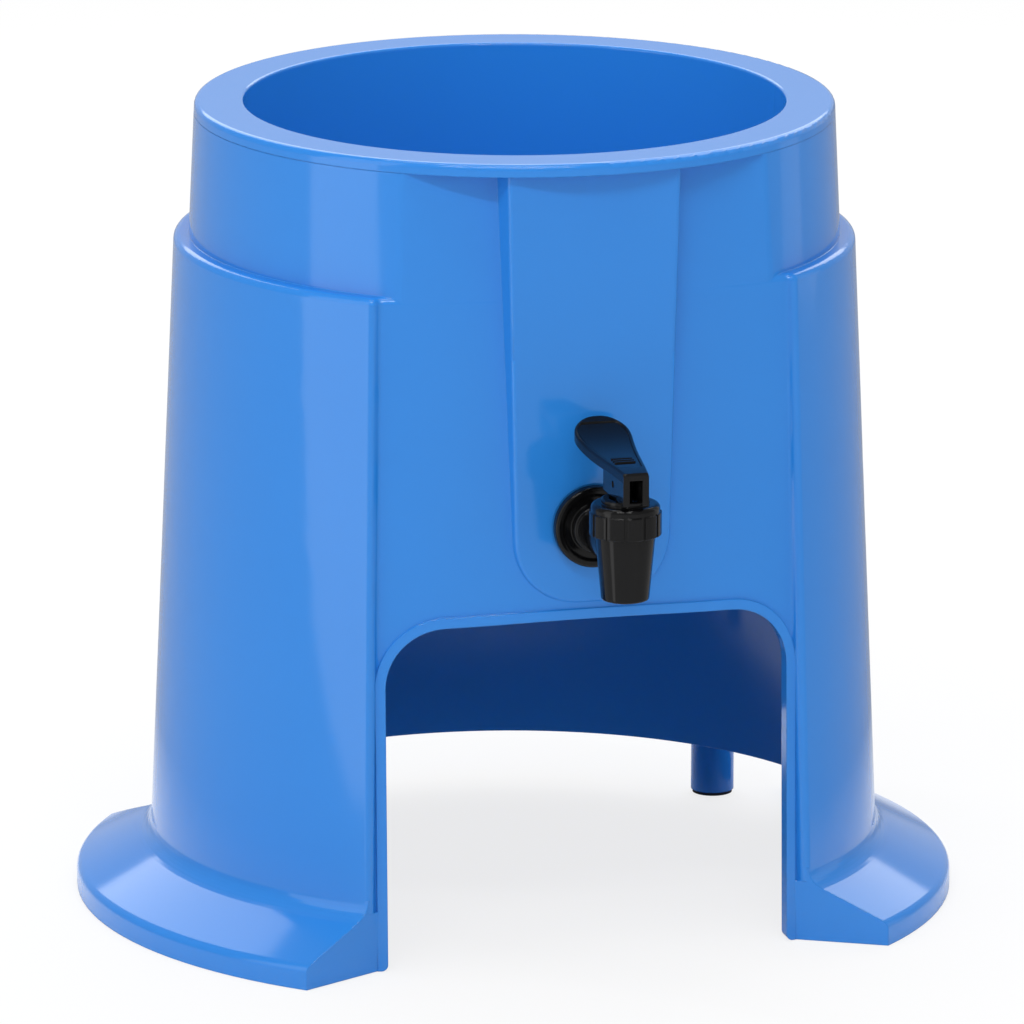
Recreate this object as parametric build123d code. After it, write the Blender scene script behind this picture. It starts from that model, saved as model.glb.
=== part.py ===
from build123d import *
import os
from math import atan2, cos, pi, radians, sin, sqrt, tan

# Water dispenser: a one-piece stand with a bowl for an upturned bottle, and a self-closing
# lever tap on its front. Millimetres, front is -Y, up is +Z, floor at z = 0.

os.makedirs("parts", exist_ok=True)

# Stand: overall form
stand_height = 360.0
rim_radius = 142.0
mouth_radius = 120.3
wall = 3.0
rim_wall = 3.5
rim_edge_round = 2.5
mouth_edge_round = 1.2

# Stand: collar above the ledge, tapered skirt below it
ledge_height = 300.0
ledge_edge_round = 3.0
collar_radius = 144.8
collar_root = 10.0
collar_set_back = 0.05
shoulder_radius = 151.5
base_radius = 164.6

# Bowl
bowl_floor_drop = 26.0
bowl_floor_radius = 112.0
bowl_corner_round = 14.0

# Front panel: a flatter face let into the collar and skirt, under the rim's lip
panel_bulge_radius = 400.0
panel_lean = 1.87
panel_edge_reach = 126.0
lip_thickness = 5.5
recess_half_width_collar = 84.4
recess_half_width_ledge = 92.0
recess_half_width_floor = 97.5
recess_edge_round = 3.0
recess_root_round = 2.0
collar_edge_round = 8.0
lip_edge_round = 0.3

# Tap pad: a raised flat field that runs down the middle of the panel
pad_proud = 2.1
pad_lean = 0.5
pad_half_width_top = 38.5
pad_half_width_bottom = 34.0
pad_drop = 34.5
pad_bottom_round = 29.0
pad_draft = 14.0
pad_root_depth = 15.0
pad_edge_round = 2.0

# Arch between the two front legs, with its rolled border
arch_half_width = 91.0
arch_drop = 41.0
arch_rise = 3.5
arch_corner_round = 27.0
arch_crown_round = 900.0
arch_toe_round = 3.0
border_width = 4.4
border_depth = 6.5
bead_height = 1.3
bead_round = 0.9

# Feet: flared flanges at both sides, given in plan by the ends of their front and rear faces
foot_radius = 197.0
foot_edge_height = 10.0
foot_root_height = 27.0
foot_edge_round = 2.5
foot_root_bend = 6.0
foot_root_inset = 0.1
foot_front_inner = (94.4, -125.5)
foot_front_outer = (131.5, -145.5)
foot_rear_inner = (149.9, 68.9)
foot_rear_outer = (161.6, 112.7)
foot_overlap = 0.4
foot_plan_reach = 4
rear_wall_height = 24.0

# Rear pegs and their rubber pads
peg_radius = 10.0
peg_angle = 48.0
peg_shoulder_height = 58.0
peg_bore_radius = 6.5
peg_bore_depth = 14.0
pad_disc_radius = 9.2
pad_disc_thickness = 1.6
pad_plug_length = 6.0
plug_clearance = 0.05

# Tap: wall flange, shank and spigot
tap_height = 197.0
tap_reach = 51.6
flange_radius = 18.1
flange_thickness = 4.6
flange_edge_round = 1.6
flange_dish_radius = 15.0
flange_dish_depth = 1.2
flange_recess_radius = 14.5
flange_recess_depth = 1.5
flange_stand_off = 0.3
pad_spot_depth = 0.15
pad_spot_margin = 0.4
shank_radius = 8.0
shank_end_reach = 96.0
shank_bore_radius = 4.6
shank_hole_clearance = 0.5
sleeve_radius = 16.5
sleeve_face_reach = 108.5
spigot_radius = 9.2
spigot_collar_radius = 10.6
spigot_collar_length = 3.4

# Tap: upright barrel and nozzle
nozzle_drop = 19.8
nozzle_tip_radius = 10.4
nozzle_top_radius = 13.1
nozzle_bore_radius = 7.6
barrel_neck_rise = 8.8
barrel_neck_radius = 12.8
barrel_top_rise = 20.2
chamber_radius = 9.2
seat_drop = 7.0
seat_plate = 2.6
seat_hole_radius = 5.2
seat_lip_width = 1.3
seat_lip_height = 0.8

# Tap: ribbed bonnet with the ring that the lever rocks on
bonnet_radius = 15.0
bonnet_rib_height = 0.7
bonnet_rib_count = 12
bonnet_rib_gap = 1.5
bonnet_rib_drop = 3.7
bonnet_shoulder_gap = 0.4
bonnet_plate = 2.8
bonnet_top_round = 2.2
bonnet_clearance = 0.15
cam_ring_radius = 10.5
cam_ring_width = 3.2
cam_ring_height = 2.0

# Tap: stem, valve cup and spring
stem_radius = 3.5
stem_clearance = 0.08
stem_collar_radius = 6.6
stem_collar_height = 1.6
stem_tongue_width = 5.0
stem_tongue_depth = 1.3
stem_tip_radius = 2.4
stem_tip_length = 3.4
cup_radius = 7.6
cup_height = 5.0
cup_seat_gap = 0.1
spring_wire_radius = 0.5
spring_coil_radius = 5.6
spring_pitch = 3.6
spring_end_clearance = 0.1

# Tap: lever and its pin
pin_rise = 6.0
pin_radius = 1.5
pin_clearance = 0.05
pin_end_inset = 0.5
lever_rest_gap = 0.3
fork_half_width = 5.7
fork_slot_width = 5.8
fork_front_reach = 16.8
fork_rear_reach = 15.4
fork_height = 14.2
fork_roof = 3.0
fork_slot_rear_reach = 6.5
paddle_line = [(-19.0, -0.2), (4.0, 1.5), (28.0, 3.7), (50.0, 12.8)]
paddle_length = 48.0
paddle_thickness = 4.2
paddle_front_half_width = 5.6
paddle_half_width = 12.4
paddle_wide_reach = 34.0
paddle_tip_round = 11.5
paddle_edge_round = 1.1
dish_inset = 1.7
dish_depth = 0.7
dish_front_reach = -8.0
dish_rear_reach = 43.5
ridge_count = 3
ridge_pitch = 2.8
ridge_reach = 4.0
ridge_width = 1.2
ridge_height = 0.6
ridge_half_length = 4.6

# Washers and lock nut
inner_washer_thickness = 2.0
washer_outer_radius = 14.0
washer_hole_clearance = 0.2
nut_across_flats = 26.0
nut_thickness = 8.0
nut_flange_radius = 15.5
nut_flange_thickness = 2.0
nut_thread_clearance = 0.08

# Heights and reaches that follow from the sizes above
bowl_floor_height = tap_height - bowl_floor_drop
arch_crown_height = tap_height - arch_drop
arch_shoulder_height = arch_crown_height - arch_rise
pad_bottom_height = tap_height - pad_drop
nozzle_bottom_height = tap_height - nozzle_drop
seat_height = tap_height - seat_drop
barrel_neck_height = tap_height + barrel_neck_rise
barrel_top_height = tap_height + barrel_top_rise
bonnet_bottom_height = barrel_neck_height + bonnet_shoulder_gap
panel_bulge = panel_bulge_radius - sqrt(panel_bulge_radius ** 2 - recess_half_width_ledge ** 2)
panel_foot_reach = panel_edge_reach + panel_bulge
pad_face_reach = panel_foot_reach - tap_height * tan(radians(panel_lean)) + pad_proud
tap_axis_reach = pad_face_reach + tap_reach
pad_spot_reach = pad_face_reach - pad_spot_depth
flange_rear_reach = pad_spot_reach + flange_stand_off
flange_front_reach = flange_rear_reach + flange_thickness
cup_bottom_height = seat_height + seat_lip_height + cup_seat_gap
stem_collar_bottom = cup_bottom_height + cup_height
cam_ring_top = barrel_top_height + bonnet_plate + cam_ring_height
lever_bottom_height = cam_ring_top + lever_rest_gap
pin_height = lever_bottom_height + pin_rise
lever_nose_height = lever_bottom_height + fork_height

root_radius = base_radius + (shoulder_radius - base_radius) * foot_root_height / ledge_height
foot_slope = (foot_root_height - foot_edge_height) / (foot_radius - root_radius)

# The stand is drawn about its own axis; every piece is then moved back by the same amount, so
# that the origin ends up at the middle of the footprint from the lever's nose to the rear wall.
rear_wall_reach = base_radius + (shoulder_radius - base_radius) * rear_wall_height / ledge_height
frame_shift = (tap_axis_reach + fork_front_reach - rear_wall_reach) / 2


# Shared helpers

def turned(points, corner_rounds):
    """Solid of revolution about the stand's axis from (radius, height) points."""
    outline = FilletPolyline(*points, radius=corner_rounds, close=True)
    return revolve(make_face(Plane.XZ * outline), Axis.Z)


def square(points):
    """Turned form with sharp corners."""
    return turned(points, [0] * len(points))


def eased(corner, back, ahead):
    """Points of a soft bend that starts at corner + back and ends at corner + ahead."""
    steps = 6
    shares = [(1 - step / steps, step / steps) for step in range(steps + 1)]
    return [(corner[0] + back[0] * a * a + ahead[0] * b * b, corner[1] + back[1] * a * a + ahead[1] * b * b)
            for a, b in shares]


def upright_prism(points, bottom, top):
    """Straight prism of a plan outline between two heights."""
    return Pos(0, 0, bottom) * extrude(make_face(Polyline(*points, close=True)), amount=top - bottom)


def front_prism(face, near, far):
    """Prism of an XZ face that runs forwards from y = -near to y = -far."""
    return Pos(0, -near, 0) * extrude(Plane.XZ * face, amount=far - near)


def mirrored(shape):
    """The shape together with its mirror image across the middle plane."""
    return shape + mirror(shape, about=Plane.YZ)


def skirt_radius(height):
    """Outer radius of the tapered skirt at a height."""
    share = height / ledge_height
    return base_radius + (shoulder_radius - base_radius) * share


def along(start, end, share):
    """Point at a share of the way from start to end, which may lie beyond either."""
    return (start[0] + (end[0] - start[0]) * share, start[1] + (end[1] - start[1]) * share)


# Stand: outside as lofted plan sections, hollow and bowl as turned forms

def panel_front(height):
    """How far forward the front panel's middle stands at a height."""
    return panel_foot_reach - height * tan(radians(panel_lean))


def collar_radius_at(height):
    """Outer radius of the collar at a height."""
    share = (height - ledge_height) / (stand_height - ledge_height)
    return collar_radius + (rim_radius - collar_radius) * share


def softened(face, convex, concave):
    """Plan face with its outward corners rounded, then its inward ones."""
    face = offset(offset(face, amount=-convex, kind=Kind.ARC), amount=convex, kind=Kind.ARC)
    return offset(offset(face, amount=concave, kind=Kind.ARC), amount=-concave, kind=Kind.ARC)


def panel_disc(height):
    """Disc whose front edge is the panel's face at a height."""
    return Pos(0, panel_bulge_radius - panel_front(height)) * Circle(panel_bulge_radius)


def skirt_section(height):
    """Plan section of the skirt, with the panel let into its front between two steps."""
    radius = skirt_radius(height)
    share = height / ledge_height
    half_width = recess_half_width_floor + (recess_half_width_ledge - recess_half_width_floor) * share
    window = Pos(0, -radius) * Rectangle(2 * half_width, 2 * radius) - panel_disc(height)
    section = softened(Circle(radius) - window, recess_edge_round, recess_root_round)
    return Pos(0, 0, height) * section.face()


def collar_section(height):
    """Plan section of the collar, where the panel simply flattens its front."""
    section = Circle(collar_radius_at(height)) & Pos(0, collar_set_back) * panel_disc(height)
    return Pos(0, 0, height) * softened(section, collar_edge_round, recess_root_round).face()


def stand_envelope():
    """The whole outside of the stand, still solid: skirt, collar and rim."""
    lip_underside = stand_height - lip_thickness
    skirt = loft([skirt_section(0), skirt_section(ledge_height)], ruled=True)
    skirt = fillet(skirt.faces().sort_by(Axis.Z)[-1].edges(), ledge_edge_round)
    collar = loft([collar_section(ledge_height - collar_root), collar_section(lip_underside)], ruled=True)
    rim = turned([(0, lip_underside), (collar_radius_at(lip_underside), lip_underside),
                  (rim_radius, stand_height), (0, stand_height)], [0, lip_edge_round, rim_edge_round, 0])
    return skirt + collar + rim


def stand_cavity():
    """The hollow between skirt and bowl, open below, one wall inside the envelope."""
    points = [(0, -1), (skirt_radius(-1) - wall, -1), (shoulder_radius - wall, ledge_height - wall),
              (collar_radius - wall, ledge_height - wall),
              (rim_radius - wall, stand_height - rim_wall), (0, stand_height - rim_wall)]
    behind_panel = recess_window(wall) - panel_barrel(wall)
    return square(points) - behind_panel


def bowl_outside():
    """The bowl's outer form, filled."""
    points = [(0, bowl_floor_height - wall), (bowl_floor_radius + wall, bowl_floor_height - wall),
              (mouth_radius + wall, stand_height), (0, stand_height)]
    return turned(points, [0, bowl_corner_round + wall, 0, 0])


def bowl_inside():
    """The space inside the bowl, opening over a rounded mouth edge."""
    brim = mouth_radius + 2 * mouth_edge_round
    points = [(0, bowl_floor_height), (bowl_floor_radius, bowl_floor_height), (mouth_radius, stand_height),
              (brim, stand_height), (brim, stand_height + wall), (0, stand_height + wall)]
    return turned(points, [0, bowl_corner_round, mouth_edge_round, 0, 0, 0])


def panel_barrel(depth):
    """Big leaning cylinder whose front is the panel's face, moved in by depth."""
    axis_reach = panel_bulge_radius / cos(radians(panel_lean)) - panel_foot_reach
    column = Cylinder(panel_bulge_radius - depth, 4 * stand_height)
    return Pos(0, axis_reach, 0) * Rot(X=-panel_lean) * column


def recess_window(grow):
    """Block of space at the front, as wide as the panel and grown sideways."""
    collar = recess_half_width_collar + grow
    ledge = recess_half_width_ledge + grow
    floor = recess_half_width_floor + grow
    split = ledge_height - grow
    right = [(floor, -1), (ledge, split), (collar, split), (collar, stand_height + 1)]
    left = [(-x, z) for x, z in reversed(right)]
    return front_prism(make_face(Polyline(*right, *left, close=True)), wall, 2 * rim_radius)


# Tap pad on the panel

def pad_plane():
    """Plane of the pad's face, x across, y up, looking forwards."""
    return Plane(origin=(0, -pad_face_reach, tap_height), x_dir=(1, 0, 0),
                 z_dir=(0, -cos(radians(pad_lean)), -sin(radians(pad_lean))))


def pad_outline(inset):
    """Tapered field with a round lower end, in the pad's plane."""
    top = stand_height - lip_thickness / 2 - tap_height
    bottom = pad_bottom_height - tap_height + inset
    wide, narrow = pad_half_width_top - inset, pad_half_width_bottom - inset
    points = [(-wide, top), (-narrow, bottom), (narrow, bottom), (wide, top)]
    rounds = [0, pad_bottom_round - inset, pad_bottom_round - inset, 0]
    return make_face(FilletPolyline(*points, radius=rounds, close=True))


def tap_pad():
    """The raised pad with drafted sides and a rounded front edge."""
    face = pad_plane() * pad_outline(0)
    block = extrude(face, amount=-pad_root_depth, taper=-pad_draft)
    front = block.faces().sort_by(Axis.Y)[0]
    rounded = front.edges().sort_by(Axis.Z)[:-1]
    below_rim = Pos(0, 0, (stand_height - lip_thickness / 2) / 2) * Box(
        2 * rim_radius, 2 * rim_radius, stand_height - lip_thickness / 2)
    return fillet(rounded, pad_edge_round) & below_rim


def tap_pad_hollow():
    """What is cored out behind the pad, one wall under its face and sides."""
    face = pad_plane() * Pos(0, 0, -wall) * pad_outline(wall)
    return extrude(face, amount=-(pad_root_depth - wall))


# Arch and its border

def arch_face(grow):
    """Arch opening in the XZ plane, grown outwards, with its toes eased at the floor."""
    side = arch_half_width + grow
    step = border_width + wall
    right = [(side, 0), (side, arch_shoulder_height + grow)]
    crown = (0, arch_crown_height + grow)
    left = [(-x, z) for x, z in reversed(right)]
    toe = [(-side - step, 0), (-side - step, -1), (side + step, -1), (side + step, 0)]
    toe_round = arch_toe_round if grow == 0 else 0
    corner = arch_corner_round + grow
    rounds = [toe_round, corner, arch_crown_round, corner, toe_round, 0, 0, 0, 0]
    return make_face(FilletPolyline(*right, crown, *left, *toe, radius=rounds, close=True))


def arch_prism(grow):
    """The arch opening run through the front of the stand."""
    return front_prism(arch_face(grow), bowl_floor_radius / 2, 2 * rim_radius)


def arch_border():
    """Return wall round the arch with a low bead in front of the panel."""
    band = arch_prism(border_width) & (panel_barrel(-bead_height) - panel_barrel(border_depth))
    above_floor = Pos(0, 0, stand_height / 2) * Box(4 * rim_radius, 4 * rim_radius, stand_height)
    return band & above_floor


# Feet

def foot_region(inset):
    """Plan outline of the right foot between its two end faces."""
    front, rear = (foot_front_inner, foot_front_outer), (foot_rear_inner, foot_rear_outer)
    points = [along(*front, -0.6), along(*front, foot_plan_reach), along(*rear, foot_plan_reach),
              along(*rear, -0.6)]
    return offset(make_face(Polyline(*points, close=True)), amount=-inset, kind=Kind.INTERSECTION)


def foot_skin(inner_radius):
    """Turned form of the foot: upright edge, eased slope, and a soft bend up into the skirt."""
    edge = eased((foot_radius, foot_edge_height), (0, -foot_edge_round),
                 (-foot_edge_round, foot_edge_round * foot_slope))
    root = (root_radius - foot_root_inset, foot_root_height + foot_root_inset * foot_slope)
    rise = (skirt_radius(foot_root_height + foot_root_bend) - skirt_radius(foot_root_height), foot_root_bend)
    bend = eased(root, (foot_root_bend, -foot_root_bend * foot_slope), rise)
    return square([(inner_radius, 0), (foot_radius, 0), *edge, *bend, (inner_radius, bend[-1][1])])


def foot_hollow(inner_radius):
    """Turned form of the space under the foot, one wall inside its edge and slope."""
    roof_drop = wall * sqrt(1 + foot_slope ** 2)
    outer_top = foot_edge_height + wall * foot_slope - roof_drop
    inner_top = foot_edge_height + (foot_radius - inner_radius) * foot_slope - roof_drop
    return square([(inner_radius, -1), (foot_radius - wall, -1), (foot_radius - wall, outer_top),
                   (inner_radius, inner_top)])


def foot():
    """Right foot: a hollow flange, open below, closed at both ends."""
    region = extrude(foot_region(0), amount=stand_height)
    inner_region = Pos(0, 0, -1) * extrude(foot_region(wall), amount=stand_height)
    flange = foot_skin(base_radius - 2 * wall / 3) & region
    hollow = foot_hollow(base_radius - foot_overlap) & inner_region
    end_plate = foot_skin(foot_front_inner[0] * 1.5) & front_end_slab()
    return flange - hollow + end_plate


def front_end_slab():
    """Upright slab, one wall thick, behind the right foot's front face."""
    angle = atan2(foot_front_outer[1] - foot_front_inner[1], foot_front_outer[0] - foot_front_inner[0])
    back = (-wall * sin(angle), wall * cos(angle))
    near, far = foot_front_inner, along(foot_front_inner, foot_front_outer, foot_plan_reach)
    points = [near, far, (far[0] + back[0], far[1] + back[1]), (near[0] + back[0], near[1] + back[1])]
    return upright_prism(points, 0, foot_root_height)


def front_trim():
    """Space in front of the right foot's front face, below the foot's top."""
    far = along(foot_front_inner, foot_front_outer, foot_plan_reach)
    points = [foot_front_inner, far, (far[0], -2 * rim_radius), (foot_front_inner[0], -2 * rim_radius)]
    return upright_prism(points, -1, foot_root_height)


def rear_clearance():
    """Space under the raised rear wall, between the rear faces of the two feet."""
    inner = along(foot_rear_inner, foot_rear_outer, -0.5)
    outer = along(foot_rear_inner, foot_rear_outer, foot_plan_reach)
    points = [inner, outer, (-outer[0], outer[1]), (-inner[0], inner[1])]
    return upright_prism(points, -1, rear_wall_height)


# Rear pegs

def peg_centre():
    """Plan position of the right peg, flush with the inside of the wall."""
    reach = skirt_radius(rear_wall_height) - wall + peg_radius
    return (reach * sin(radians(peg_angle)), reach * cos(radians(peg_angle)))


def peg():
    """Right rear peg, with a sloped shoulder that runs into the skirt."""
    x, y = peg_centre()
    top = peg_shoulder_height + peg_radius
    post = Pos(x, y, (top + pad_disc_thickness) / 2) * Cylinder(peg_radius, top - pad_disc_thickness)
    reach = skirt_radius(peg_shoulder_height) + peg_shoulder_height
    return post & square([(0, 0), (reach, 0), (reach - top, top), (0, top)])


def peg_bore():
    """Blind bore in the right peg that holds the rubber pad's plug."""
    x, y = peg_centre()
    return Pos(x, y, peg_bore_depth / 2) * Cylinder(peg_bore_radius, peg_bore_depth + pad_disc_thickness)


# Whole stand

def front_cylinder(radius, near, far):
    """Cylinder on the tap shank's axis, from y = -near to y = -far."""
    return front_prism(Pos(0, tap_height) * Circle(radius), near, far)


def base_moulding():
    """The stand: rim, bowl, collar, skirt, panel, pad, arch, feet and pegs in one moulding."""
    cavity = stand_cavity() + tap_pad_hollow() - bowl_outside()
    shell = stand_envelope() + tap_pad() - cavity
    shell = shell + front_cylinder(sleeve_radius, sleeve_face_reach, pad_face_reach - wall / 2)
    shell = shell - mirrored(front_trim()) - rear_clearance()
    shell = shell + mirrored(foot()) + mirrored(peg()) - mirrored(peg_bore())
    shell = shell + arch_border() - arch_prism(0)
    shell = shell - (bowl_inside() - front_cylinder(sleeve_radius, sleeve_face_reach, mouth_radius))
    shell = shell - front_cylinder(flange_radius + pad_spot_margin, pad_spot_reach, tap_axis_reach)
    return shell - front_cylinder(shank_radius + shank_hole_clearance, shank_end_reach, tap_axis_reach)


def rear_pad():
    """Right rear rubber pad: a disc under the peg with a plug up its bore."""
    x, y = peg_centre()
    disc = Pos(x, y, pad_disc_thickness / 2) * Cylinder(pad_disc_radius, pad_disc_thickness)
    top = pad_disc_thickness + pad_plug_length
    plug = Pos(x, y, top / 2) * Cylinder(peg_bore_radius - plug_clearance, top)
    return disc + plug


# Tap, as turned forms about the nozzle's upright axis and the shank's level axis

def on_tap_axis(shape):
    """A shape made about the stand's axis, moved to the nozzle's axis."""
    return Pos(0, -tap_axis_reach, 0) * shape


def on_shank_axis(shape):
    """A shape made about the stand's axis, laid along the shank so that its top faces forwards."""
    return Pos(0, 0, tap_height) * Rot(X=90) * shape


def tap_barrel():
    """Nozzle, barrel and threaded neck, still solid."""
    points = [(0, nozzle_bottom_height), (nozzle_tip_radius, nozzle_bottom_height),
              (nozzle_top_radius, barrel_neck_height), (barrel_neck_radius, barrel_neck_height),
              (barrel_neck_radius, barrel_top_height), (0, barrel_top_height)]
    return on_tap_axis(turned(points, [0, 1.0, 0, 0, 0.4, 0]))


def tap_shank():
    """Shank, dished wall flange and spigot with its collar, still solid."""
    dish_floor = flange_front_reach - flange_dish_depth
    collar_end = flange_front_reach + spigot_collar_length
    points = [(0, shank_end_reach), (shank_radius, shank_end_reach), (shank_radius, flange_rear_reach),
              (flange_radius, flange_rear_reach), (flange_radius, flange_front_reach),
              (flange_dish_radius, flange_front_reach), (flange_dish_radius - 1.0, dish_floor),
              (spigot_collar_radius, dish_floor), (spigot_collar_radius, collar_end),
              (spigot_radius, collar_end), (spigot_radius, tap_axis_reach), (0, tap_axis_reach)]
    rounds = [0, 1.0, 0, 0.4, flange_edge_round, 0.6, 0.6, 0.6, 1.0, 0.4, 0, 0]
    recess = square([(shank_radius, flange_rear_reach - 1), (flange_recess_radius, flange_rear_reach - 1),
                     (flange_recess_radius, flange_rear_reach + flange_recess_depth),
                     (shank_radius, flange_rear_reach + flange_recess_depth)])
    return on_shank_axis(turned(points, rounds) - recess)


def tap_waterway():
    """Nozzle bore, seat hole and chamber, with the raised lip of the seat left standing."""
    lip_radius = seat_hole_radius + seat_lip_width
    lip_top = seat_height + seat_lip_height
    ceiling = seat_height - seat_plate
    points = [(0, nozzle_bottom_height - 1), (nozzle_bore_radius, nozzle_bottom_height - 1),
              (nozzle_bore_radius, ceiling), (seat_hole_radius, ceiling), (seat_hole_radius, lip_top),
              (lip_radius, lip_top), (lip_radius, seat_height), (chamber_radius, seat_height),
              (chamber_radius, barrel_top_height + 1), (0, barrel_top_height + 1)]
    return on_tap_axis(square(points))


def tap_body():
    """Tap body: nozzle, barrel, spigot, wall flange and shank in one piece."""
    bore = front_cylinder(shank_bore_radius, shank_end_reach - 1, tap_axis_reach)
    return tap_barrel() + tap_shank() - tap_waterway() - bore


def washer(near, far):
    """Flat washer on the shank from y = -near to y = -far."""
    ring = front_cylinder(washer_outer_radius, near, far)
    return ring - front_cylinder(shank_radius + washer_hole_clearance, near, far)


def shank_nut():
    """Flanged hex nut that clamps the tap from inside the bowl."""
    rear = sleeve_face_reach - inner_washer_thickness
    hexagon = Pos(0, tap_height) * RegularPolygon(nut_across_flats / 2, 6, major_radius=False)
    nut = front_prism(hexagon, rear - nut_thickness, rear)
    crown = on_shank_axis(turned([(0, rear - nut_thickness - 1), (nut_across_flats / 2, rear - nut_thickness - 1),
                                  (nut_flange_radius, rear - nut_thickness + 1.6), (nut_flange_radius, rear),
                                  (0, rear)], [0, 0, 0, 0, 0]))
    flange = front_cylinder(nut_flange_radius, rear - nut_flange_thickness, rear)
    thread = front_cylinder(shank_radius + nut_thread_clearance, rear - nut_thickness - 1, rear + 1)
    return (nut & crown) + flange - thread


def bonnet_ribs(top):
    """Ring of broad grip ribs round the bonnet, with narrow gaps between them."""
    outer = bonnet_radius + bonnet_rib_height
    upper = top - bonnet_rib_drop
    ring = turned([(bonnet_radius - 1, bonnet_bottom_height), (outer, bonnet_bottom_height), (outer, upper),
                   (bonnet_radius - 1, upper)], [0, 0.4, 0.5, 0])
    gap = Pos(outer, 0, tap_height) * Box(2 * (bonnet_rib_height + 1.5), bonnet_rib_gap, stand_height)
    return ring - PolarLocations(0, bonnet_rib_count, start_angle=180 / bonnet_rib_count) * gap


def bonnet():
    """Screwed bonnet: ribbed cap over the neck, top plate and cam ring."""
    top = barrel_top_height + bonnet_plate
    cap = turned([(0, bonnet_bottom_height), (bonnet_radius, bonnet_bottom_height), (bonnet_radius, top),
                  (0, top)], [0, 0.3, bonnet_top_round, 0])
    ring_inner = cam_ring_radius - cam_ring_width
    ring = turned([(ring_inner, top - 1), (cam_ring_radius, top - 1), (cam_ring_radius, cam_ring_top),
                   (ring_inner, cam_ring_top)], [0, 0, 0.4, 0.3])
    neck_hole = square([(0, 0), (barrel_neck_radius + bonnet_clearance, 0),
                        (barrel_neck_radius + bonnet_clearance, barrel_top_height), (0, barrel_top_height)])
    stem_hole = Cylinder(stem_radius + stem_clearance, 4 * stand_height)
    return on_tap_axis(cap + bonnet_ribs(top) + ring - neck_hole - stem_hole)


def stem():
    """Valve stem: tip for the cup, spring collar, round shaft and a flat tongue on top."""
    top = pin_height + stem_radius
    collar_top = stem_collar_bottom + stem_collar_height
    points = [(0, stem_collar_bottom - stem_tip_length), (stem_tip_radius, stem_collar_bottom - stem_tip_length),
              (stem_tip_radius, stem_collar_bottom), (stem_collar_radius, stem_collar_bottom),
              (stem_collar_radius, collar_top), (stem_radius, collar_top), (stem_radius, top), (0, top)]
    rod = turned(points, [0, 0.5, 0, 0.3, 0.3, 0, 0, 0])
    rounded_top = Pos(0, 0, pin_height) * Rot(Y=90) * Cylinder(stem_radius, 4 * stem_radius)
    tongue_floor = cam_ring_top - stem_tongue_depth
    tongue = Pos(0, 0, (tongue_floor + top) / 2) * Box(stem_tongue_width, 4 * stem_radius, top - tongue_floor)
    below_pin = Pos(0, 0, pin_height / 2) * Box(4 * cup_radius, 4 * cup_radius, pin_height)
    below_tongue = Pos(0, 0, tongue_floor / 2) * Box(4 * cup_radius, 4 * cup_radius, tongue_floor)
    rod = rod & (below_pin + rounded_top) & (below_tongue + tongue)
    hole = Pos(0, 0, pin_height) * Rot(Y=90) * Cylinder(pin_radius + pin_clearance, 4 * stem_radius)
    return on_tap_axis(rod - hole)


def seat_cup():
    """Rubber valve cup pushed onto the stem's tip."""
    points = [(0, cup_bottom_height), (cup_radius, cup_bottom_height), (cup_radius, stem_collar_bottom),
              (stem_tip_radius, stem_collar_bottom), (stem_tip_radius, stem_collar_bottom - stem_tip_length),
              (0, stem_collar_bottom - stem_tip_length)]
    return on_tap_axis(turned(points, [0, 0.8, 1.2, 0, 0.5, 0]))


def stem_spring():
    """Coil spring between the stem's collar and the bonnet's plate."""
    bottom = stem_collar_bottom + stem_collar_height + spring_end_clearance + spring_wire_radius
    top = barrel_top_height - spring_end_clearance - spring_wire_radius
    path = Helix(pitch=spring_pitch, height=top - bottom, radius=spring_coil_radius)
    section = Plane(origin=path @ 0, z_dir=path % 0) * Circle(spring_wire_radius)
    return on_tap_axis(Pos(0, 0, bottom) * sweep(section, path=path))


def tap_side(points):
    """Face in the tap's middle plane from (distance behind the nozzle's axis, height) points."""
    return Plane.YZ * make_face(Polyline(*[(y - tap_axis_reach, z) for y, z in points], close=True))


def across(face, half_width):
    """Prism of a middle-plane face, the same distance to both sides."""
    return Pos(-half_width, 0, 0) * extrude(face, amount=2 * half_width)


def paddle_slab(rise):
    """Plate curved in side view, wider than the lever, moved up by rise."""
    upper = [(reach - tap_axis_reach, lever_nose_height + height + rise) for reach, height in paddle_line]
    lower = [(y, z - paddle_thickness) for y, z in upper]
    outline = Curve() + [Spline(*upper), Line(upper[-1], lower[-1]), Spline(*lower[::-1]),
                         Line(lower[0], upper[0])]
    return across(Plane.YZ * make_face(outline), 2 * paddle_half_width)


def paddle_plan():
    """The paddle from above: straight sides that widen from the nose to a round tip."""
    right = [(paddle_front_half_width, -fork_front_reach), (paddle_half_width, paddle_wide_reach),
             (paddle_half_width, paddle_length)]
    left = [(-x, y) for x, y in reversed(right)]
    rounds = [1.2, 30, paddle_tip_round, paddle_tip_round, 30, 1.2]
    return make_face(FilletPolyline(*right, *left, radius=rounds, close=True))


def paddle_dish():
    """Shallow dish in the paddle's top, inside a raised rim, ending in a straight step at the tip."""
    length = dish_rear_reach - dish_front_reach
    field = Pos(0, dish_front_reach + length / 2) * Rectangle(2 * paddle_half_width, length)
    plan = offset(paddle_plan(), amount=-dish_inset, kind=Kind.INTERSECTION) & field
    return paddle_slab(paddle_thickness - dish_depth) & on_tap_axis(extrude(plan, amount=stand_height))


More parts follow.
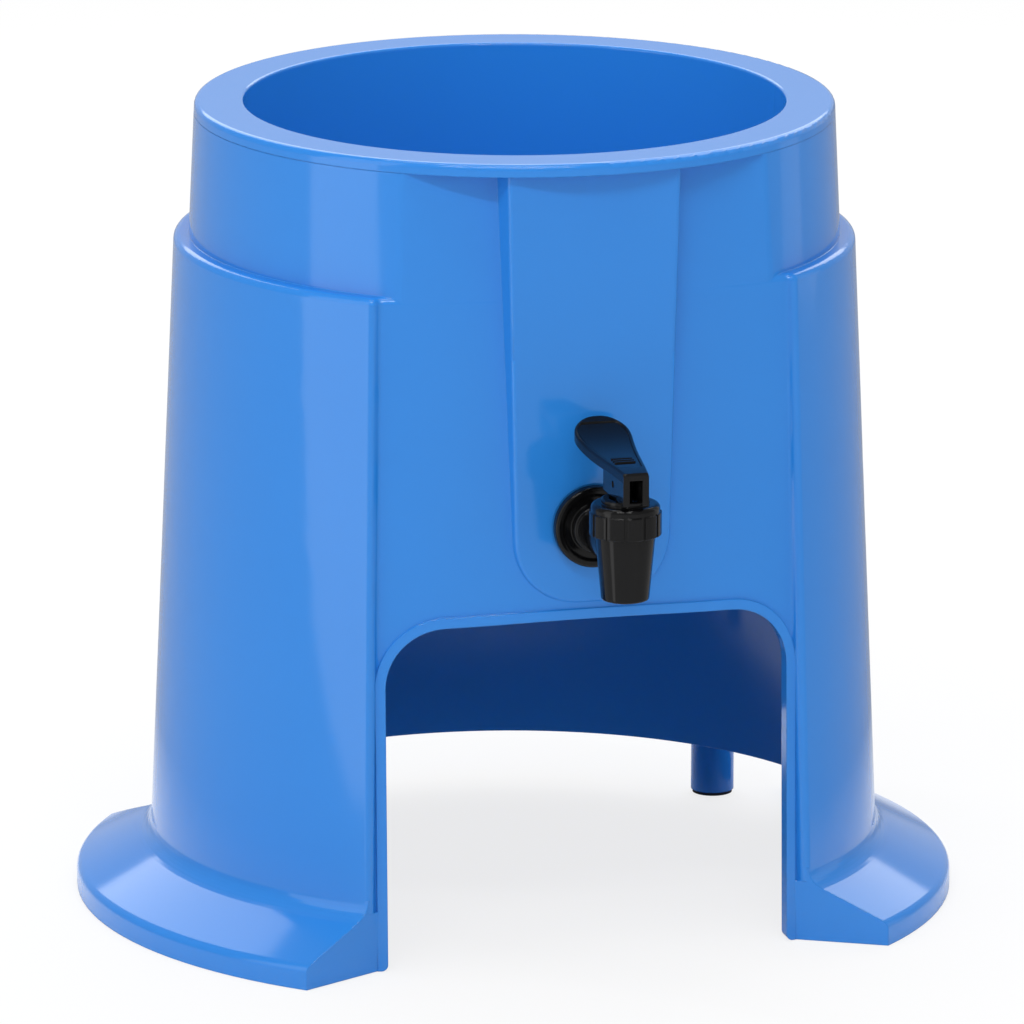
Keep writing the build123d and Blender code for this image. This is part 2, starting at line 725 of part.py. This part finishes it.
def thumb_ridges():
    """Low bars across the dish near its front end."""
    bars = [Pos(0, ridge_reach + ridge_pitch * (place - (ridge_count - 1) / 2))
            * Rectangle(2 * ridge_half_length, ridge_width) for place in range(ridge_count)]
    prisms = extrude(Sketch() + bars, amount=stand_height)
    return paddle_slab(ridge_height - dish_depth) & on_tap_axis(prisms)


def lever():
    """Lever: fork astride the stem's tongue, eased paddle above it with its dish and thumb ridges."""
    side = tap_side([(-fork_front_reach, lever_bottom_height), (-fork_front_reach, lever_nose_height - 1),
                     (fork_rear_reach, lever_nose_height - 1), (fork_rear_reach, lever_bottom_height)])
    plate = paddle_slab(0) & on_tap_axis(extrude(paddle_plan(), amount=stand_height))
    blank = across(side, fork_half_width) + plate
    upward = blank.faces().filter_by(lambda face: face.normal_at(face.center()).Z > 0.8)
    blank = fillet(upward.sort_by(SortBy.AREA)[-1].edges(), paddle_edge_round)
    slot = across(tap_side([(-fork_front_reach - 1, lever_bottom_height - 1),
                            (-fork_front_reach - 1, lever_nose_height - fork_roof),
                            (fork_slot_rear_reach, lever_nose_height - fork_roof),
                            (fork_slot_rear_reach, lever_bottom_height - 1)]), fork_slot_width / 2)
    hole = on_tap_axis(Pos(0, 0, pin_height) * Rot(Y=90) * Cylinder(pin_radius, 4 * fork_half_width))
    return blank - paddle_dish() + thumb_ridges() - slot - hole


def lever_pin():
    """Cross pin held in the fork, on which the lever turns."""
    length = 2 * (fork_half_width - pin_end_inset)
    return on_tap_axis(Pos(0, 0, pin_height) * Rot(Y=90) * Cylinder(pin_radius, length))


# Every node, written out as one STEP file each

nodes = {
    "base_moulding": base_moulding(),
    "right_rear_pad": rear_pad(),
    "left_rear_pad": mirror(rear_pad(), about=Plane.YZ),
    "tap_body": tap_body(),
    "outer_washer": washer(pad_spot_reach, flange_rear_reach + flange_recess_depth),
    "inner_washer": washer(sleeve_face_reach - inner_washer_thickness, sleeve_face_reach),
    "shank_nut": shank_nut(),
    "bonnet": bonnet(),
    "stem": stem(),
    "seat_cup": seat_cup(),
    "stem_spring": stem_spring(),
    "lever": lever(),
    "lever_pin": lever_pin(),
}

for name, shape in nodes.items():
    export_step(Pos(0, frame_shift, 0) * shape, f"parts/{name}.step")
    print(name, "solids", len(shape.solids()), "valid", shape.is_valid, "volume", round(shape.volume, 1))
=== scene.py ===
# %% [markdown]
# # A water dispenser, dressed in Blender
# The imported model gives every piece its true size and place. This lesson gives each piece the finish
# of the real one: glossy moulded blue for the stand, black moulded plastic for the tap, rubber for the
# pads and washers and drawn wire for the spring. Then it sets a white room, five lamps and a camera.

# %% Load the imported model
from math import cos, pi, radians, sin

import bmesh
import bpy
import numpy as np
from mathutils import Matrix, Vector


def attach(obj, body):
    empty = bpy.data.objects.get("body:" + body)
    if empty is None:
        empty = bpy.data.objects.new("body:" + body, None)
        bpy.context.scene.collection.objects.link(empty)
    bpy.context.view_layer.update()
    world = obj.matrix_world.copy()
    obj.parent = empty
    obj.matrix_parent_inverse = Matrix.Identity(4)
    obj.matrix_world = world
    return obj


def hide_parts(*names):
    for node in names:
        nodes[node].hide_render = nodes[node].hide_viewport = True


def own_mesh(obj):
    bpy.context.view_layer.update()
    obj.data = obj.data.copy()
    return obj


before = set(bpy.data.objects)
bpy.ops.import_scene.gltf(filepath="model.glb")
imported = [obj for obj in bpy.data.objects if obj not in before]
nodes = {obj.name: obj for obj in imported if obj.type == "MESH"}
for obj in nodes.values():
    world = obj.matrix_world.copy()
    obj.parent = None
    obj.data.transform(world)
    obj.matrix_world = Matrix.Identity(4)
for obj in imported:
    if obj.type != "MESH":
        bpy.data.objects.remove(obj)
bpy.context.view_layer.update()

print("pieces:", sorted(nodes))

# %% [markdown]
# ## The main places
# The stand is a body of revolution, and its upright axis lies a little behind the origin. The tap has
# an upright axis of its own, the middle of its bonnet. Everything in the scene is in metres.


stand_axis_y = 0.018624
look_at_height = 0.17031

# %% [markdown]
# ## Shader maths as plain expressions
# A material is a graph of nodes. Written out link by link, even a small formula takes a page. The class
# below wraps a socket and overloads the usual operators, so that `1 - mask * 0.3` adds its own Math
# nodes. Any other node comes from `add`.

# %% A socket that understands + - * /
class Signal:
    """An output socket in a node tree that can be used in arithmetic."""

    def __init__(self, tree, socket):
        self.tree, self.socket = tree, socket

    def add(self, kind, settings=None, values=None, output=0):
        """Add a node, set its settings first, then link or set its input sockets."""
        node = self.tree.nodes.new(kind)
        for key, value in (settings or {}).items():
            if key == "stops":
                set_stops(node.color_ramp, value)
            else:
                setattr(node, key, value)
        for key, value in (values or {}).items():
            if isinstance(value, Signal):
                self.tree.links.new(value.socket, node.inputs[key])
            else:
                node.inputs[key].default_value = value
        return Signal(self.tree, node.outputs[output])

    def math(self, operation, *operands):
        """One Math node on these operands."""
        return self.add("ShaderNodeMath", {"operation": operation}, dict(enumerate(operands)))

    def __add__(self, other):
        return self.math("ADD", self, other)

    def __radd__(self, other):
        return self.math("ADD", other, self)

    def __sub__(self, other):
        return self.math("SUBTRACT", self, other)

    def __rsub__(self, other):
        return self.math("SUBTRACT", other, self)

    def __mul__(self, other):
        return self.math("MULTIPLY", self, other)

    def __rmul__(self, other):
        return self.math("MULTIPLY", other, self)

    def __truediv__(self, other):
        return self.math("DIVIDE", self, other)

    def root(self):
        """Square root of the value."""
        return self.math("POWER", self, 0.5)

    def clamped(self):
        """The value held between 0 and 1."""
        return self.add("ShaderNodeClamp", values={"Value": self})

    def noise(self, scale, detail=3.0, roughness=0.5):
        """Smooth noise from 0 to 1 that reads this vector."""
        return self.add("ShaderNodeTexNoise", {"noise_dimensions": "3D"},
                        {"Vector": self, "Scale": scale, "Detail": detail, "Roughness": roughness})

    def mixed(self, low, high):
        """A colour between low and high. A Mix node takes colours at 6 and 7 and gives one at 2."""
        return self.add("ShaderNodeMix", {"data_type": "RGBA"}, {0: self, 6: low, 7: high}, 2)


def set_stops(ramp, stops):
    """Put (position, grey) stops on a ramp."""
    while len(ramp.elements) < len(stops):
        ramp.elements.new(0.5)
    for element, (position, grey) in zip(ramp.elements, stops):
        element.position = position
        element.color = (grey, grey, grey, 1)


print("shader maths ready")

# %% [markdown]
# ## What every material starts from
# Each material is a Principled shader that reads Object coordinates, so its pattern stays on the piece
# in every pose. Moulded plastic has no truly sharp edge, and the fine light line along an edge is what
# makes it look moulded. A Bevel node rounds the edges' shading, and the bump goes on top of it.

# %% Helpers for a material
def new_material(name):
    """An empty material, with its Principled shader and its Object coordinates."""
    material = bpy.data.materials.new(name)
    material.use_nodes = True
    tree = material.node_tree
    coordinates = tree.nodes.new("ShaderNodeTexCoord")
    return material, tree.nodes["Principled BSDF"], Signal(tree, coordinates.outputs["Object"])


def plug(signal, shader, name):
    """Link a signal to one of the shader's sockets."""
    signal.tree.links.new(signal.socket, shader.inputs[name])


def bumped(height, shader, strength, distance, edge):
    """Send a height through a Bump node to the shader's Normal, over edges rounded by a Bevel node."""
    rounded = height.add("ShaderNodeBevel", {"samples": 8}, {"Radius": edge}, "Normal")
    bump = height.add("ShaderNodeBump", values={"Height": height, "Strength": strength, "Distance": distance,
                                                "Normal": rounded}, output="Normal")
    plug(bump, shader, "Normal")


print("material helpers ready")

# %% [markdown]
# ## Blue moulded plastic
# The stand is one moulding in coloured polypropylene. Its surface is smooth and glossy, with the faint
# orange peel of a polished mould: a very low, wide bump. The colour hardly varies; a slow noise moves it
# by a few percent, as pigment does.

# %% Blue plastic
def blue_plastic():
    """Glossy blue with slow pigment drift, faint orange peel and edges rounded by 0.8 mm."""
    material, shader, place = new_material("stand_blue_plastic")
    colour = place.noise(9.0, 2.0).mixed((0.022, 0.222, 0.690, 1), (0.026, 0.236, 0.720, 1))
    plug(colour, shader, "Base Color")
    plug(0.085 + 0.03 * place.noise(60.0, 3.0), shader, "Roughness")
    shader.inputs["Specular IOR Level"].default_value = 0.5
    shader.inputs["Coat Weight"].default_value = 0.1
    shader.inputs["Coat Roughness"].default_value = 0.05
    bumped(place.noise(26.0, 1.0), shader, 0.02, 0.001, 0.0008)
    return material


stand_blue = blue_plastic()
print("made", stand_blue.name)

# %% [markdown]
# ## Black plastic
# The tap is moulded in black and polished, so it shows as dark shapes with bright edges. The pin, the
# stem and the nut are the same plastic with a satin surface. One function makes both, because only the
# roughness and the strength of the shine differ.

# %% Black plastic
def black_plastic(name, roughness, gloss):
    """Near-black plastic with fine variation in its roughness and edges rounded by 0.6 mm."""
    material, shader, place = new_material(name)
    colour = place.noise(30.0, 3.0).mixed((0.0030, 0.0030, 0.0034, 1), (0.0045, 0.0045, 0.0050, 1))
    plug(colour, shader, "Base Color")
    plug(roughness + 0.05 * place.noise(260.0, 4.0), shader, "Roughness")
    shader.inputs["Specular IOR Level"].default_value = gloss
    bumped(place.noise(400.0, 1.0), shader, 0.02, 0.0001, 0.0006)
    return material


tap_black = black_plastic("tap_black_gloss", 0.07, 0.28)
satin_black = black_plastic("satin_black", 0.32, 0.35)
print("made", tap_black.name, "and", satin_black.name)

# %% [markdown]
# ## Rubber and wire
# The peg pads and washers are black rubber and the valve cup is grey silicone: matt, a little dusty, with
# a fine grain. The spring is drawn steel wire, so it is metal with a slightly uneven polish.

# %% Rubber and wire
def rubber(name, dark, light):
    """Matt rubber between two greys, with a fine grain."""
    material, shader, place = new_material(name)
    colour = place.noise(420.0, 5.0, 0.7).mixed((dark, dark, dark, 1), (light, light, light, 1))
    plug(colour, shader, "Base Color")
    plug(0.62 + 0.2 * place.noise(300.0, 4.0), shader, "Roughness")
    bumped(place.noise(1500.0, 3.0), shader, 0.25, 0.0003, 0.0003)
    return material


def drawn_wire():
    """Bright steel with uneven polish."""
    material, shader, place = new_material("spring_wire")
    shader.inputs["Metallic"].default_value = 1.0
    colour = place.noise(500.0, 3.0).mixed((0.50, 0.49, 0.47, 1), (0.62, 0.61, 0.59, 1))
    plug(colour, shader, "Base Color")
    plug(0.22 + 0.12 * place.noise(900.0, 3.0), shader, "Roughness")
    return material


black_rubber = rubber("black_rubber", 0.012, 0.022)
grey_rubber = rubber("grey_silicone", 0.30, 0.36)
spring_wire = drawn_wire()
print("made", black_rubber.name, grey_rubber.name, "and", spring_wire.name)

# %% [markdown]
# ## Give every piece its finish
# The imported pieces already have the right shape, so each keeps its mesh and only its material slots get
# the new finish.

# %% Finishes
finishes = {
    "base_moulding": stand_blue, "left_rear_pad": black_rubber, "right_rear_pad": black_rubber,
    "tap_body": tap_black, "bonnet": tap_black, "lever": tap_black, "lever_pin": satin_black,
    "stem": satin_black, "shank_nut": satin_black, "outer_washer": black_rubber,
    "inner_washer": black_rubber, "seat_cup": grey_rubber, "stem_spring": spring_wire,
}
for name, material in finishes.items():
    for slot in nodes[name].material_slots:
        slot.material = material
    print(name, "->", material.name, len(nodes[name].data.polygons), "faces")

# %% [markdown]
# ## The return spring
# The return spring stands between the stem's collar and the bonnet's plate, so it gets shorter as the stem
# rises.
# A copy of it, with its doubles merged, takes its place on the stand's body and keeps the imported spring's
# shape.

# %% Spring
def live_spring(name):
    """Merged copy of the spring's mesh that takes its place, with the imported spring hidden."""
    mesh = nodes["stem_spring"].data.copy()
    mesh.name = name
    work = bmesh.new()
    work.from_mesh(mesh)
    bmesh.ops.remove_doubles(work, verts=work.verts, dist=1e-6)
    work.to_mesh(mesh)
    work.free()
    spring = bpy.data.objects.new(name, mesh)
    bpy.context.collection.objects.link(spring)
    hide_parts("stem_spring")
    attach(spring, "stand")
    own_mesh(spring)
    return spring


spring = live_spring("return_spring")

# %% [markdown]
# ## The floor
# The photograph is a cut-out on white. The floor is matt white that shows a faint shadow to the camera.
# Upright glossy walls mirror the floor and not the sky, so what they mirror is drawn on it: a pale
# ground, greyer on the right, and one white strip on the left. The strip is the clear light band down
# the left of the skirt. Close to the object the floor stays plainly lit, so that the arch keeps its dark.

# %% Floor
def grid_mesh(name, points):
    """A mesh from an (n, m, 3) array of points, with quads between neighbours."""
    n, m = points.shape[:2]
    index = np.arange(n * m).reshape(n, m)
    quads = np.stack([index[:-1, :-1], index[1:, :-1], index[1:, 1:], index[:-1, 1:]], axis=-1).reshape(-1, 4)
    mesh = bpy.data.meshes.new(name)
    mesh.from_pydata(points.reshape(-1, 3), [], quads.tolist())
    piece = bpy.data.objects.new(name, mesh)
    bpy.context.collection.objects.link(piece)
    return piece


def pale_floor(half_width, drop):
    """Flat floor: x and y run over a square, and z is a hair below the feet."""
    side = np.linspace(-half_width, half_width, 3)
    x, y = np.meshgrid(side, side, indexing="ij")
    return grid_mesh("floor", np.stack([x, y, np.full_like(x, -drop)], axis=-1))


def at_turn(degrees):
    """Place on a ramp of a direction, in degrees from the front towards +X."""
    return degrees / 360 + 0.5


floor = pale_floor(half_width=14, drop=0.0003)
print("floor", len(floor.data.polygons), "faces")

# %% [markdown]
# The strip lies between two straight lines on the floor, each given by where it crosses the middle and
# by its slope. They are placed so that its mirror image on the skirt covers the photograph's light band.

# %% Floor finish
ground_turns = [(at_turn(-180), 0.50), (at_turn(-150), 0.52), (at_turn(-90), 0.66), (at_turn(20), 0.66),
                (at_turn(60), 0.46), (at_turn(150), 0.40), (at_turn(180), 0.50)]
strip_white = (1.7, 1.7, 1.7, 1)
front_start, front_slope = -0.225, 0.424
rear_start, rear_slope = -0.324, -0.135
strip_blur, side_blur = 0.03, 0.1
plain_reach, reach_blur = 0.22, 0.15
white_share = 0.8


def mirrored_ground(place):
    """The floor's colour in mirrors, and how far it holds: 0 close to the object, 1 from 0.37 m out."""
    across = place.add("ShaderNodeSeparateXYZ", values={"Vector": place}, output="X")
    along = place.add("ShaderNodeSeparateXYZ", values={"Vector": place}, output="Y") - stand_axis_y
    turn = across.math("ARCTAN2", across, -1 * along) / (2 * pi) + 0.5
    grey = place.add("ShaderNodeValToRGB", {"stops": ground_turns}, {"Fac": turn})
    past_one_line = ((along - front_start - front_slope * across) / strip_blur).clamped()
    short_of_other = ((rear_start + rear_slope * across - along) / strip_blur).clamped()
    strip = past_one_line * short_of_other * (across / -side_blur).clamped()
    reach = (across * across + along * along).root()
    return strip.mixed(grey, strip_white), ((reach - plain_reach) / reach_blur).clamped()


def floor_white():
    """Matt white that lightens itself to the camera, and shows the mirrored ground to glossy rays."""
    material, shader, place = new_material("floor_white")
    shader.inputs["Base Color"].default_value = (0.9, 0.9, 0.9, 1)
    shader.inputs["Roughness"].default_value = 0.9
    camera_ray = place.add("ShaderNodeLightPath", output="Is Camera Ray")
    glossy_ray = place.add("ShaderNodeLightPath", output="Is Glossy Ray")
    ground, clear = mirrored_ground(place)
    white = place.add("ShaderNodeEmission", values={"Color": (1, 1, 1, 1), "Strength": 1.0})
    pale = place.add("ShaderNodeEmission", values={"Color": ground, "Strength": 1.0})
    lit = Signal(place.tree, shader.outputs["BSDF"])
    mixed = place.add("ShaderNodeMixShader", values={0: white_share * camera_ray, 1: lit, 2: white})
    mixed = place.add("ShaderNodeMixShader", values={0: clear * glossy_ray, 1: mixed, 2: pale})
    place.tree.links.new(mixed.socket, place.tree.nodes["Material Output"].inputs["Surface"])
    return material


floor.data.materials.append(floor_white())
print("floor finish ready")

# %% [markdown]
# ## The room
# The world is white to the camera and a plain, even light on matt surfaces. What glossy surfaces mirror
# is brightest on the side away from the camera, as in a studio with a white backdrop.

# %% World
def studio_world():
    """White world: full to the camera, plain to matt surfaces, shaped by direction to glossy ones."""
    world = bpy.data.worlds.new("studio")
    world.use_nodes = True
    tree = world.node_tree
    place = Signal(tree, tree.nodes.new("ShaderNodeTexCoord").outputs["Generated"])
    ahead = place.add("ShaderNodeVectorMath", {"operation": "DOT_PRODUCT"}, {0: place, 1: away}, "Value")
    mirrored = place.add("ShaderNodeValToRGB", {"stops": backdrop_stops}, {"Fac": 0.5 + 0.5 * ahead})
    camera_ray = place.add("ShaderNodeLightPath", output="Is Camera Ray")
    glossy_ray = place.add("ShaderNodeLightPath", output="Is Glossy Ray")
    unseen = plain_strength + glossy_ray * (mirrored - plain_strength)
    strength = unseen + camera_ray * (1 - unseen)
    background = tree.nodes["Background"]
    background.inputs["Color"].default_value = (1, 1, 1, 1)
    tree.links.new(strength.socket, background.inputs["Strength"])
    return world


plain_strength = 0.62
away = (sin(radians(15)), cos(radians(15)), 0)
backdrop_stops = [(0.0, 0.40), (0.5, 0.30), (0.8, 0.35), (0.92, 0.55), (0.97, 0.66)]
bpy.context.scene.world = studio_world()
print("world ready, plain strength", plain_strength)

# %% [markdown]
# ## The lamps
# A tall box on the left models the round skirt and a faint one on the right keeps its far side open. Two
# long strips, in front and overhead, draw thin light lines on rounded edges. A wide box high behind the
# object lies where the feet's tops mirror it, so they turn pale. Each line below gives a name, a place,
# the point the lamp faces, its width, its height and its watts.

# %% Lamps
def softbox(name, place, aim, width, height, watts):
    """Rectangular area lamp at a place, turned to face a point."""
    lamp = bpy.data.lights.new(name, "AREA")
    lamp.shape = "RECTANGLE"
    lamp.size, lamp.size_y, lamp.energy = width, height, watts
    holder = bpy.data.objects.new(name, lamp)
    bpy.context.collection.objects.link(holder)
    holder.location = place
    towards = Vector(aim) - Vector(place)
    holder.rotation_euler = towards.to_track_quat("-Z", "Y").to_euler()
    return holder


softbox("left_box", (-1.52, -0.47, 1.0), (0, 0, 0.9), 0.80, 1.6, 4.0)
softbox("right_box", (1.6, 0.2, 0.9), (0, 0, 0.9), 0.35, 1.8, 0.6)
softbox("front_strip", (-0.5, -1.4, 1.9), (0, 0, 0.3), 1.5, 0.12, 15.0)
softbox("overhead_strip", (-0.2, -0.2, 2.3), (0, 0, 0.3), 1.6, 0.12, 9.0)
softbox("back_box", (0.45, 1.70, 1.62), (0, 0, 0.05), 2.6, 1.6, 23)

# %% [markdown]
# ## The camera
# The lens is long and the camera stands a little above the object and 15 degrees to its left, so the
# near foot is seen larger than the far one. Its height, distance, shift and roll were fitted to the
# outlines of the rim and the skirt. Its turn lies between the two that suit the arch and the tap.

# %% Camera
def photo_camera():
    """Camera on a ray at an azimuth and elevation from the target, with a hair of roll and shift."""
    azimuth, elevation, tilt, distance = radians(-15.1), radians(14.30), radians(0.096), 4.4421
    focal_pixels, image_pixels, shift_pixels, sensor = 9916.28, 1024, -1.87, 36.0
    camera = bpy.data.cameras.new("camera")
    camera.lens = focal_pixels / image_pixels * sensor
    camera.sensor_width = sensor
    camera.shift_x = shift_pixels / image_pixels
    camera.clip_end = 60
    holder = bpy.data.objects.new("camera", camera)
    bpy.context.collection.objects.link(holder)
    target = np.array([0.0, stand_axis_y, look_at_height])
    ray = np.array([sin(azimuth) * cos(elevation), -cos(azimuth) * cos(elevation), sin(elevation)])
    holder.location = target + distance * ray
    turn = Vector(-ray).to_track_quat("-Z", "Y").to_matrix()
    roll = Matrix.Rotation(tilt, 3, "Z")
    holder.rotation_euler = (turn @ roll).to_euler()
    return holder


bpy.context.scene.camera = photo_camera()
bpy.context.scene.view_settings.view_transform = "Standard"
print("camera lens", round(bpy.context.scene.camera.data.lens, 2), "mm")
